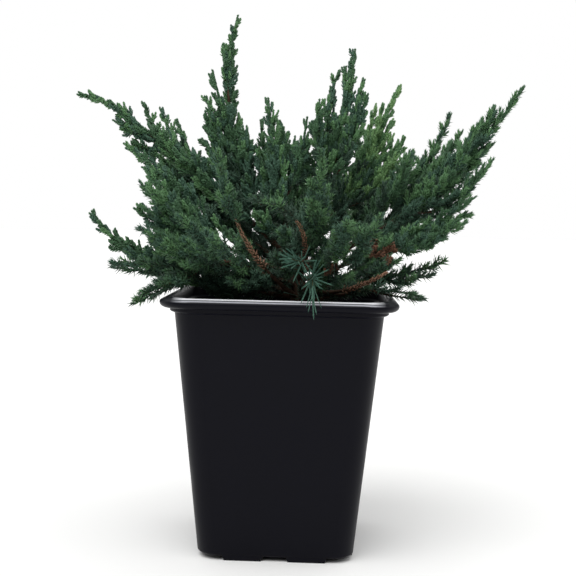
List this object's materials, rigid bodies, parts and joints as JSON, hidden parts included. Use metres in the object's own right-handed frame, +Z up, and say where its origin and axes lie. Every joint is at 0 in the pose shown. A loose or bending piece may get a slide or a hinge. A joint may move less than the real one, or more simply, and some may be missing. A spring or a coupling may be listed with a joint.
{
  "type": "chinese juniper in a square nursery pot",
  "caption": "Young spreading Chinese juniper with dense upswept plumes of needle foliage, growing in a tall tapered square plastic nursery pot.",
  "frame": {"origin": "middle of the pot's underside, on the flat of its centre foot, at the level the pot stands on", "axes": "+Z up through the pot, +X to the right and -Y to the front as the picture shows the plant"},
  "size_m": [0.3577, 0.2525, 0.4349],
  "materials": {
    "pot": "satin black moulded polypropylene",
    "soil": "dark potting mix of composted bark",
    "bark": "thin red-brown bark that flakes in strips",
    "foliage": "blue-green waxy needles and scales"
  },
  "bodies": {
    "root": {"back_fan": "foliage", "back_left_crest": "foliage", "back_left_sweep": "foliage", "back_right_crest": "foliage", "back_right_sweep": "foliage", "back_skirt": "foliage", "back_spire": "foliage", "bough_back_fan": "bark", "bough_back_left_crest": "bark", "bough_back_left_sweep": "bark", "bough_back_right_crest": "bark", "bough_back_right_sweep": "bark", "bough_back_spire": "bark", "bough_front_right": "bark", "bough_front_rosette": "bark", "bough_front_spray": "bark", "bough_left_arch": "bark", "bough_left_crest": "bark", "bough_left_cushion": "bark", "bough_left_face": "bark", "bough_left_sweep": "bark", "bough_light_spire": "bark", "bough_peak": "bark", "bough_peak_face": "bark", "bough_right_crest": "bark", "bough_right_lower": "bark", "bough_right_outer": "bark", "bough_right_sweep": "bark", "bough_tall_spire": "bark", "centre_spire": "foliage", "front_hanging": "foliage", "front_right": "foliage", "front_rosette": "foliage", "front_spray": "foliage", "left_arch": "foliage", "left_crest": "foliage", "left_cushion": "foliage", "left_face": "foliage", "left_skirt": "foliage", "left_sweep": "foliage", "light_spire": "foliage", "peak": "foliage", "peak_face": "foliage", "pot": "pot", "right_crest": "foliage", "right_foot": "foliage", "right_lower": "foliage", "right_outer": "foliage", "right_sweep": "foliage", "soil": "soil", "tall_spire": "foliage", "trunk": "bark"}
  },
  "joints": []
}
